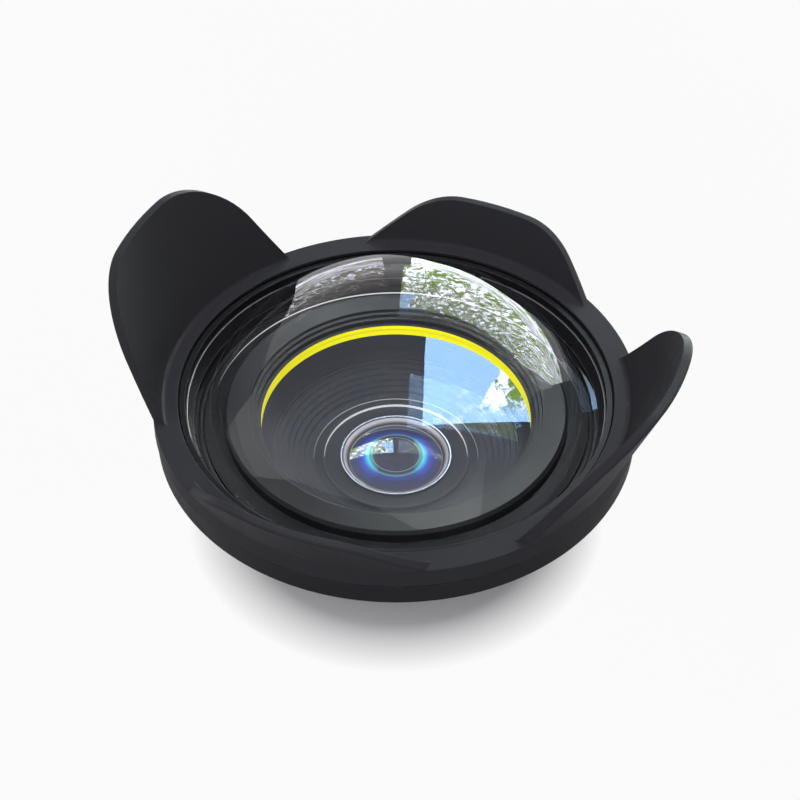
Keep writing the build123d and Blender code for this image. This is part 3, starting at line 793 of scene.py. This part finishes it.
@dataclass(frozen=True)
class DomeGlass(Finish):
    """Clear polished glass with slight smudges, and a ground foot that shines whitish by painted light."""

    head_on: float = 0.045
    tint: Colour = (0.97, 0.98, 1.0)
    smudge: Colour = (0.8, 0.82, 0.85)
    most_smudge: float = 0.02
    # Colour and strength of the painted light that the foot's strip gives off.
    ground: Colour = (0.85, 0.87, 0.9)
    foot_painted_glow: float = 0.9
    ground_top: float = 28.3 * MM
    ground_radius: float = 49.5 * MM

    def wire(self, surface: Surface, wiring: Wiring) -> None:
        """Wires the glass, its smudges, and the foot's whitish strip, which shines as painted light.

        Args:
            surface: The material being made.
            wiring: Its wiring.
        """
        glass = surface.glassy(self.head_on, self.tint)
        smudges = wiring.noise(wiring.position(), 55.0, 6.0, 0.7)
        film = wiring.shader(Shader.MATT, Color=self.smudge)
        hazed = wiring.mix(wiring.spread(smudges, 0.55, 0.85, 0.0, self.most_smudge), glass, film)
        # Painted highlight: a strip low on the dome's inner face gives off whitish light, standing for the
        # lit ground glass foot.
        foot = wiring.shader(Shader.GLOW, Color=self.ground, Strength=self.foot_painted_glow)
        low = wiring.maths("LESS_THAN", surface.height(), self.ground_top)
        inner = wiring.maths("LESS_THAN", surface.radius(), self.ground_radius)
        front = wiring.maths("SUBTRACT", 1.0, wiring.backfacing())
        glow_strip_mask = wiring.maths("MULTIPLY", wiring.maths("MULTIPLY", low, inner), front)
        wiring.show(wiring.mix(glow_strip_mask, hazed, foot))


@dataclass(frozen=True)
class CoatedGlass(Finish):
    """Clear glass whose coating mirrors one colour most."""

    head_on: float
    tint: Colour
    passed: Colour = (1.0, 1.0, 1.0)
    slope: float = 1.0

    def wire(self, surface: Surface, wiring: Wiring) -> None:
        """Swaps the plain shader for the coated glass."""
        surface.glassy(self.head_on, self.tint, self.passed, self.slope)


@dataclass(frozen=True)
class DeepGlass(Finish):
    """A lens over a dark pupil painted as shade, whose coating shows in rings painted as reflections that
    give off light.

    The coloured rings show to both sides of the camera's line, and the fine ones along it. The lens's inner
    face mirrors the room turned round.
    """

    coloured: tuple[tuple[float, Colour], ...]
    fine: tuple[tuple[float, Colour], ...]
    reach: float
    mirrored: Colour
    share: float
    line: tuple[float, float] = (0.35, 0.62)
    painted_glow: float = 0.55

    def wire(self, surface: Surface, wiring: Wiring) -> None:
        """Wires the rings and the inner face.

        Args:
            surface: The material being made.
            wiring: Its wiring.
        """
        # Painted reflections: which rings show depends on the side of the camera's line.
        side = wiring.maths("ABSOLUTE", wiring.along(wiring.position(), RIGHT))
        aside = wiring.spread(side, *(part * self.reach for part in self.line))
        fine, coloured = surface.ringed(self.fine, self.reach), surface.ringed(self.coloured, self.reach)
        surface.with_painted_glow(wiring.blend(aside, fine, coloured), self.painted_glow)
        surface.set("Roughness", 0.06)
        surface.set("Specular IOR Level", 0.3)
        normal = wiring.normal()
        swing = wiring.node("ShaderNodeVectorMath", operation="SCALE")
        wiring.feed(swing.inputs[0], RIGHT)
        wiring.feed(swing.inputs["Scale"], wiring.maths("MULTIPLY", wiring.along(normal, RIGHT), -2.0))
        swapped = wiring.vector("ADD", normal, swing.outputs["Vector"])
        inner = wiring.shader(Shader.MIRROR, Roughness=0.03, Color=self.mirrored, Normal=swapped)
        wiring.show(wiring.mix(self.share, surface.shader.outputs[0], inner))


class Shapes:
    """Mesh shapes built in code."""

    @staticmethod
    def ring(radii: Sequence[float], level: float) -> list[Point]:
        """Places points evenly round the optical axis.

        Args:
            radii: The radius of each point in turn.
            level: Their height.

        Returns:
            The points.
        """
        turns = [math.tau * step / len(radii) for step in range(len(radii))]
        places = zip(radii, turns)
        return [(radius * math.cos(turn), radius * math.sin(turn), level) for radius, turn in places]

    @staticmethod
    def mesh(name: str, points: Sequence[Point], faces: Sequence[Sequence[int]]) -> bpy.types.Object:
        """Makes an object from points and faces.

        Args:
            name: The object's name.
            points: Its points.
            faces: Point numbers of each face.

        Returns:
            The object, in the scene.
        """
        data = bpy.data.meshes.new(name)
        data.from_pydata(points, [], faces)
        data.validate()
        made = bpy.data.objects.new(name, data)
        bpy.context.scene.collection.objects.link(made)
        return made

    @staticmethod
    def lathe(name: str, rows: Sequence[Sequence[Point]]) -> bpy.types.Object:
        """Joins rings of points into one closed turned skin.

        Args:
            name: The object's name.
            rows: Rings of equal length, each closed on itself, the last joined to the first.

        Returns:
            The object, in the scene.
        """
        count = len(rows[0])
        points = [point for row in rows for point in row]
        faces = []
        for start in range(len(rows)):
            near, far = start * count, (start + 1) % len(rows) * count
            for step in range(count):
                turn = (step + 1) % count
                faces.append((near + step, near + turn, far + turn, far + step))
        return Shapes.mesh(name, points, faces)


@dataclass
class PieceGroup(ABC):
    """Pieces of the lens that are dressed together."""

    effects: Effects

    @abstractmethod
    def dress(self) -> None:
        """Builds what the CAD lacks and finishes the pieces."""

    def paint(self, finish: Finish, name: str, *pieces: object) -> None:
        """Gives pieces one new material.

        Args:
            finish: Its finish.
            name: Its name.
            *pieces: Objects, or names of CAD nodes.
        """
        material = finish.material(name, self.effects)
        for piece in pieces:
            target = NODES[piece] if isinstance(piece, str) else piece
            target.data.materials.clear()
            target.data.materials.append(material)
            LOG.info("finished %s: %s", target.name, name)


@dataclass
class RearMount(PieceGroup):
    """The threaded mount ring and the rear group that it carries."""

    thread_radius: float = 33.5 * MM
    thread_length: float = 4.6 * MM
    pitch: float = 0.75 * MM
    thread_depth: float = 0.46 * MM
    groove_half: float = 0.42
    run_out_margin: float = 0.45 * MM
    face_radius: float = 33.0 * MM
    bore_radius: float = 29.6 * MM
    flange_radius: float = 36.5 * MM
    flange_top: float = 7.0 * MM
    flange_chamfer: float = 0.3 * MM
    boss_radius: float = 32.0 * MM
    boss_top: float = 11.0 * MM
    steps: int = 180
    rows_per_turn: int = 8

    def crest(self, height: float, angle: float) -> float:
        """Radius of the thread's surface.

        Args:
            height: Height above the end face.
            angle: Angle about the axis, in radians.

        Returns:
            The radius there.
        """
        turn = (height / self.pitch + angle / math.tau) % 1.0
        groove = max(0.0, 1.0 - abs(turn - 0.5) / self.groove_half)
        run_out = (self.thread_length - self.run_out_margin - height) / (0.5 * self.pitch)
        lead = max(0.0, min(1.0, height / self.pitch, run_out))
        chamfer = min(self.thread_radius, self.face_radius + height)
        return min(chamfer, self.thread_radius - self.thread_depth * groove * lead)

    def build_thread(self) -> bpy.types.Object:
        """Builds the mount ring with its helical thread.

        Returns:
            The piece that stands for the plain ring.
        """
        angles = [math.tau * step / self.steps for step in range(self.steps)]
        count = round(self.thread_length / self.pitch * self.rows_per_turn)
        levels = [self.thread_length * row / count for row in range(count + 1)]
        rows = [Shapes.ring([self.crest(level, angle) for angle in angles], level) for level in levels]
        plain = [
            (self.flange_radius - self.flange_chamfer, self.thread_length),
            (self.flange_radius, self.thread_length + self.flange_chamfer),
            (self.flange_radius, self.flange_top),
            (self.boss_radius, self.flange_top),
            (self.boss_radius, self.boss_top),
            (self.bore_radius, self.boss_top),
            (self.bore_radius, 0.0),
        ]
        rows += [Shapes.ring([radius] * self.steps, level) for radius, level in plain]
        return Shapes.lathe("mount_thread", rows)

    def dress(self) -> None:
        """Builds the thread and finishes the rear pieces."""
        thread = self.build_thread()
        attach(thread, "barrel")
        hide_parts("mount_ring")
        LOG.info("built mount_thread: %d points", len(thread.data.vertices))
        metal = Anodised(colour=(0.014, 0.0145, 0.016), mark_depth=0.005 * MM, wear=0.55)
        self.paint(metal, "mount_anodised", thread, "rear_shell", "rear_retaining_ring")
        self.paint(SealRubber(), "seal_black_rubber", "rear_lens_seal", "shell_seal", "dome_seal")
        rear = CoatedGlass(head_on=0.06, tint=(0.6, 0.75, 1.0), passed=(0.96, 0.98, 1.0))
        self.paint(rear, "rear_glass", "rear_lens")
        steel = BrightTurned(colour=(0.05, 0.05, 0.055), roughness=0.35)
        screws = ("mount_lock_screws", "hood_lock_screw_1", "hood_lock_screw_2")
        self.paint(steel, "blackened_steel", *screws)


@dataclass
class LensCell(PieceGroup):
    """The small lens group deep in the middle, its rings and the stepped trap round it."""

    third_radius: float = 12.5 * MM

    def dress(self) -> None:
        """Finishes the cell, its rings, its lenses and the light trap."""
        matt = Anodised(
            colour=(0.026, 0.026, 0.028), roughness=0.38, shine=0.6, rings=6500.0, wear=0.05, streak=0.8
        )
        inside = ("cell_retaining_ring", "lower_spacer", "aperture_stop", "upper_spacer")
        self.paint(matt, "cell_anodised", "lens_cell", *inside, "light_trap")
        face = Anodised(
            colour=(0.014, 0.0148, 0.0165), roughness=0.42, rings=8000.0, wear=0.05, dust=0.03
        )
        self.paint(face, "ring_face_anodised", "name_ring")
        self.paint(BezelMetal(), "silver_bezel", "silver_bezel")
        self.paint(BrightWall(painted_glow=0.75), "inner_trim_painted_highlight", "inner_trim_ring")
        outer_trim = BrightWall(colour=(0.72, 0.73, 0.75), painted_glow=0.55)
        self.paint(outer_trim, "outer_trim_painted_highlight", "outer_trim_ring")
        self.paint(self.third_glass(), "third_lens_painted_rings", "third_lens")
        fourth = CoatedGlass(head_on=0.1, tint=(0.22, 0.5, 1.0))
        self.paint(fourth, "fourth_lens_glass", "fourth_lens")

    def third_glass(self) -> DeepGlass:
        """The third lens's glass, with a painted dark pupil and painted coating reflections.

        Returns:
            The finish.
        """
        # The dark pupil is painted shade; the cyan, blue and pale rings are painted reflections of the
        # coating.
        pupil, slate, rim = (0.012, 0.013, 0.02), (0.02, 0.022, 0.04), (0.03, 0.032, 0.045)
        return DeepGlass(
            coloured=(
                (0.0, pupil),
                (0.0048, (0.012, 0.018, 0.04)),
                (0.006, (0.02, 0.14, 0.2)),
                (0.0064, (0.3, 0.5, 0.55)),
                (0.0067, (0.03, 0.5, 0.62)),
                (0.0074, (0.1, 1.0, 0.95)),
                (0.0079, (0.05, 0.45, 1.0)),
                (0.0086, (0.03, 0.09, 0.62)),
                (0.0101, (0.016, 0.03, 0.2)),
                (0.0121, rim),
            ),
            fine=(
                (0.0, pupil),
                (0.0062, slate),
                (0.00635, (0.3, 0.36, 0.42)),
                (0.0065, slate),
                (0.0072, (0.015, 0.06, 0.1)),
                (0.00765, (0.12, 0.3, 0.38)),
                (0.008, (0.02, 0.06, 0.3)),
                (0.0095, (0.015, 0.02, 0.11)),
                (0.0121, rim),
            ),
            reach=self.third_radius,
            mirrored=(0.93, 0.96, 1.0),
            share=0.17,
        )


@dataclass
class FrontGroup(PieceGroup):
    """The second lens, the yellow ring, the baffle, the front shell and the dome."""

    def dress(self) -> None:
        """Finishes the second lens and its shim, the rings round it, the front shell and the dome."""
        # Painted shade: the brass shim is coloured near black, as if it lay in shade under the second lens.
        brass = BrightTurned(colour=(0.022, 0.021, 0.02), roughness=0.4, metallic=0.5)
        self.paint(brass, "shim_brass_painted_dark", "second_lens_shim")
        second = CoatedGlass(head_on=0.14, tint=(0.82, 0.92, 1.0), slope=0.4)
        self.paint(second, "second_lens_glass", "second_lens")
        self.paint(YellowWall(painted_glow=0.7), "yellow_wall_painted_light", "yellow_ring")
        baffle = Anodised(
            colour=(0.018, 0.0183, 0.0195), roughness=0.42, shine=0.6, wear=0.12, streak=0.75
        )
        self.paint(baffle, "baffle_anodised", "baffle_ring")
        for name in ("yellow_ring", "baffle_ring"):
            NODES[name].visible_glossy = False
        shell = Anodised(colour=(0.0115, 0.0115, 0.0132), shine=0.17, wear=0.3)
        self.paint(shell, "shell_anodised", "front_shell")
        # The lip's near-white, almost unbroken bare edges are wear and a painted highlight along the lip.
        lip = Anodised(
            colour=(0.0115, 0.0115, 0.0138),
            roughness=0.3,
            shine=0.3,
            edge=0.3 * MM,
            bare=(0.9, 0.91, 0.94),
            wear=0.95,
            solid=0.85,
            edge_metal=0.8,
            streak=0.2,
        )
        self.paint(lip, "dome_ring_highlit_lip", "dome_retaining_ring")
        self.paint(DomeGlass(), "polished_dome_glass", "dome_glass")


@dataclass
class PetalHood(PieceGroup):
    """The petal hood and the acetal ring that it turns on."""

    def dress(self) -> None:
        """Finishes the hood and its slip ring."""
        self.paint(MouldedSatin(), "hood_satin_plastic", "hood")
        acetal = MouldedSatin(
            colour=(0.02, 0.02, 0.021), roughness=0.5, grain=9000.0, edge=0.2 * MM, dust=0.0
        )
        self.paint(acetal, "slip_ring_acetal", "hood_slip_ring")


@dataclass(frozen=True)
class Window:
    """A bright window: its colours, its brightness, and its places as shares of the window distance.

    across says how far right each end lies, and tops how high each end reaches. Sky shows all along above
    all_sky. Above sky_foot it also shows left of sky_end, which lies further right by sky_lean for each unit
    that a point is below one. Elsewhere leaves stand before pale light. The floor before the window shows
    its foot colour and its leaf colour as painted light, seen only in mirrors.
    """

    name: str
    across: tuple[float, float]
    tops: tuple[float, float]
    sky: Colour
    pale: Colour
    foot: Colour
    leaf: Colour
    sky_end: float
    all_sky: float
    sky_lean: float
    power: float
    sky_foot: float = 0.62


@dataclass
class Studio:
    """White floor, a room that is pale low down, soft light, two windows to mirror, and the camera."""

    floor_radius: float = 4.0
    floor_sides: int = 96
    whites: tuple[Colour, Colour] = ((0.955, 0.955, 0.955), (0.965, 0.965, 0.965))
    # Grey that mirrors and bounced light see on the floor: painted shade.
    floor_bounce: Colour = (0.5, 0.5, 0.5)
    shadow_shift: float = 8.0 * MM
    shadow_fade: tuple[float, float] = (39.0 * MM, 55.0 * MM)
    window_distance: float = 2.5
    sector_start: float = 0.2
    pier: float = 0.05
    sky_blur: float = 0.1
    sky_end_blur: float = 0.01
    leaf_shape: Point = (2.2, 2.2, 1.0)
    camera_place: Point = (184.929 * MM, -408.055 * MM, 465.291 * MM)
    elevation: float = 43.937
    roll: float = 0.19
    focal_length: float = 108.56
    sensor_width: float = 36.0
    nearest_seen: float = 10.0 * MM
    lamp_distance: float = 2.0
    walls: Colour = (0.96, 0.96, 0.96)
    wall_top: tuple[float, float] = (0.05, 0.5)
    ceiling: Colour = (0.262, 0.258, 0.295)
    right_window: Window = Window(
        name="right_window",
        across=(0.028, 1.65),
        tops=(1.0, 0.72),
        sky=(0.42, 0.66, 1.0),
        pale=(2.15, 2.1, 2.7),
        foot=(0.9, 0.88, 1.12),
        leaf=(0.19, 0.29, 0.05),
        sky_end=0.081,
        all_sky=0.93,
        sky_lean=0.2,
        power=8.0,
    )
    left_window: Window = Window(
        name="left_window",
        across=(-0.05, -1.2),
        tops=(0.5, 0.46),
        sky=(0.17, 0.16, 0.15),
        pale=(1.5, 1.47, 1.7),
        foot=(0.82, 0.81, 0.92),
        leaf=(0.2, 0.2, 0.15),
        sky_end=-2.0,
        all_sky=0.2,
        sky_lean=0.0,
        power=4.0,
    )

    def build_floor(self) -> None:
        """Builds the floor, white and plain, which takes the lens's soft shadow.

        Beyond the foot of the lens the camera sees an even white. Mirrors and bounced light see it in a
        darker grey, painted shade, and before the windows a painted pool of the windows' light.
        """
        rim = Shapes.ring([self.floor_radius] * self.floor_sides, 0.0)
        floor = Shapes.mesh("floor", rim, [tuple(range(self.floor_sides))])
        material = bpy.data.materials.new("floor_white")
        wiring = Wiring.of(material)
        at = wiring.position()
        path = wiring.node("ShaderNodeLightPath").outputs
        straight = wiring.maths("MAXIMUM", path["Is Camera Ray"], path["Is Transmission Ray"])
        white = wiring.blend(wiring.wander(wiring.noise(at, 3.0)), *self.whites)
        # Painted shade: to mirrors and bounced light the floor is a darker grey.
        matt = wiring.shader(Shader.MATT, Color=wiring.blend(straight, self.floor_bounce, white))
        even = wiring.shader(Shader.GLOW, Color=white)
        out_from = wiring.measure("DISTANCE", at, FORWARD * -self.shadow_shift)
        beyond = wiring.spread(out_from, *self.shadow_fade)
        plain = wiring.mix(wiring.maths("MULTIPLY", beyond, straight), matt, even)
        side, ahead = wiring.along(at, RIGHT), wiring.along(at, FORWARD)
        # Painted light: before the windows the floor gives off the windows' light, seen only in mirrors.
        painted_glow = wiring.shader(Shader.GLOW, Color=self.painted_window_light(wiring, side, ahead))
        window_glow_mask = wiring.maths("MULTIPLY", path["Is Glossy Ray"], self.painted_window_sector(wiring, side, ahead))
        wiring.show(wiring.mix(window_glow_mask, plain, painted_glow))
        floor.data.materials.append(material)

    def painted_window_sector(self, wiring: Wiring, side: Socket, ahead: Socket) -> Socket:
        """1 on the floor between the windows and the lens, where the windows' light is painted, else 0.

        Args:
            wiring: The floor's wiring.
            side: How far right a floor point lies.
            ahead: How far forward it lies.

        Returns:
            The mask.
        """
        slope = wiring.maths("DIVIDE", side, ahead)
        near = wiring.maths("GREATER_THAN", ahead, self.sector_start)
        open_part = wiring.maths("GREATER_THAN", wiring.maths("ABSOLUTE", slope), self.pier)
        leftmost = wiring.maths("GREATER_THAN", slope, self.left_window.across[1])
        rightmost = wiring.maths("LESS_THAN", slope, self.right_window.across[1])
        inside = wiring.maths("MULTIPLY", leftmost, rightmost)
        return wiring.maths("MULTIPLY", wiring.maths("MULTIPLY", near, open_part), inside)

    def painted_window_light(self, wiring: Wiring, side: Socket, ahead: Socket) -> Socket:
        """Colour and strength of the windows' light painted on the floor in front of them.

        Args:
            wiring: The floor's wiring.
            side: How far right a floor point lies.
            ahead: How far forward it lies.

        Returns:
            The colour.
        """
        fan = wiring.node("ShaderNodeCombineXYZ")
        wiring.feed(fan.inputs["X"], wiring.maths("DIVIDE", side, ahead))
        wiring.feed(fan.inputs["Y"], wiring.maths("LOGARITHM", ahead, 3.0))
        leaves = wiring.spread(wiring.noise(fan.outputs[0], 6.0, 6.0, 0.7), 0.44, 0.56)
        painted_tones = []
        for view in (self.left_window, self.right_window):
            foot, leaf = (tuple(view.power * part for part in colour) for colour in (view.foot, view.leaf))
            painted_tones.append(wiring.blend(leaves, foot, leaf))
        return wiring.blend(wiring.maths("GREATER_THAN", side, 0.0), *painted_tones)

    def build_window(self, view: Window) -> None:
        """Builds one bright window for the glass to mirror, which the camera doesn't see.

        Args:
            view: The window.
        """
        unit = self.window_distance
        corners = []
        for share, top in zip(view.across, view.tops):
            end = (FORWARD + RIGHT * share) * unit
            corners += [(end.x, end.y, 0.0), (end.x, end.y, top * unit)]
        made = Shapes.mesh(view.name, corners, [(0, 2, 3, 1)])
        material = bpy.data.materials.new(view.name)
        wiring = Wiring.of(material)
        at = wiring.position()
        rise = wiring.upward(at)
        leant = wiring.maths("MULTIPLY_ADD", rise, view.sky_lean, wiring.along(at, RIGHT))
        edge = view.sky_end * unit + view.sky_lean * unit
        beside = wiring.spread(leant, edge, edge + self.sky_end_blur, 1.0, 0.0)
        foot, above = view.sky_foot * unit, view.all_sky * unit
        beside = wiring.maths("MULTIPLY", beside, wiring.spread(rise, foot, foot + self.sky_blur))
        over = wiring.spread(rise, above, above + self.sky_blur)
        closer = wiring.vector("MULTIPLY", at, self.leaf_shape)
        leaves = wiring.spread(wiring.noise(closer, 5.0, 7.0, 0.8), 0.41, 0.5)
        garden = wiring.blend(leaves, view.pale, view.leaf)
        colour = wiring.blend(wiring.maths("MAXIMUM", beside, over), garden, view.sky)
        wiring.show(wiring.shader(Shader.GLOW, Color=colour, Strength=view.power))
        made.data.materials.append(material)
        made.visible_camera = False
        made.visible_diffuse = False
        made.visible_transmission = False
        made.visible_shadow = False

    def build_world(self) -> None:
        """Sets an even room: white walls low down under a darker ceiling."""
        world = bpy.data.worlds.new("room")
        bpy.context.scene.world = world
        wiring = Wiring.of(world)
        upward = wiring.upward(wiring.node("ShaderNodeTexCoord").outputs["Generated"])
        colour = wiring.blend(wiring.spread(upward, *self.wall_top), self.walls, self.ceiling)
        wiring.show(wiring.shader(Shader.ROOM, Color=colour), "ShaderNodeOutputWorld")

    def lamp(self, name: str, tilt: float, towards: float, spread: float, level: float) -> None:
        """Places a soft, even lamp as far away as a sun, which mirrors don't show.

        Args:
            name: The lamp's name.
            tilt: Its angle from straight overhead, in degrees.
            towards: The side it leans to, in degrees clockwise from the camera's forward direction.
            spread: How wide it looks from the lens, in degrees.
            level: How bright it makes a white floor, where 1 is white.
        """
        turn, lean = math.radians(towards), math.radians(tilt)
        level_way = FORWARD * math.cos(turn) + RIGHT * math.sin(turn)
        way = level_way * math.sin(lean) + Vector((0.0, 0.0, math.cos(lean)))
        data = bpy.data.lights.new(name, "SUN")
        data.angle = math.radians(spread)
        data.energy = level * math.pi / math.cos(lean)
        lamp = bpy.data.objects.new(name, data)
        lamp.location = way * self.lamp_distance
        lamp.rotation_euler = way.to_track_quat("Z", "Y").to_euler()
        lamp.visible_glossy = False
        bpy.context.scene.collection.objects.link(lamp)

    def build_camera(self) -> None:
        """Places the camera at the photograph's viewing angle."""
        rise, roll = math.radians(self.elevation), math.radians(self.roll)
        look = FORWARD * math.cos(rise) + Vector((0.0, 0.0, -math.sin(rise)))
        up = RIGHT.cross(look)
        turned_right = RIGHT * math.cos(roll) + up * math.sin(roll)
        turned_up = up * math.cos(roll) - RIGHT * math.sin(roll)
        data = bpy.data.cameras.new("camera")
        data.lens = self.focal_length
        data.sensor_width = self.sensor_width
        data.clip_start = self.nearest_seen
        camera = bpy.data.objects.new("camera", data)
        facing = Matrix((turned_right, turned_up, -look)).transposed().to_4x4()
        camera.matrix_world = Matrix.Translation(self.camera_place) @ facing
        bpy.context.scene.collection.objects.link(camera)
        bpy.context.scene.camera = camera

    def build(self) -> None:
        """Builds the whole studio."""
        self.build_floor()
        self.build_window(self.right_window)
        self.build_window(self.left_window)
        self.build_world()
        self.lamp("overhead_softbox", tilt=12.0, towards=0.0, spread=40.0, level=0.52)
        self.lamp("front_fill", tilt=48.0, towards=205.0, spread=60.0, level=0.22)
        self.build_camera()


def main() -> None:
    """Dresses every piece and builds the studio."""
    NODES.update(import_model()["nodes"])
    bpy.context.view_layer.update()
    bpy.context.scene.view_settings.view_transform = "Standard"
    effects = Effects()
    for group in (RearMount(effects), LensCell(effects), FrontGroup(effects), PetalHood(effects)):
        group.dress()
        LOG.info("dressed %s", type(group).__name__)
    Studio().build()


if __name__ == "__main__":
    main()
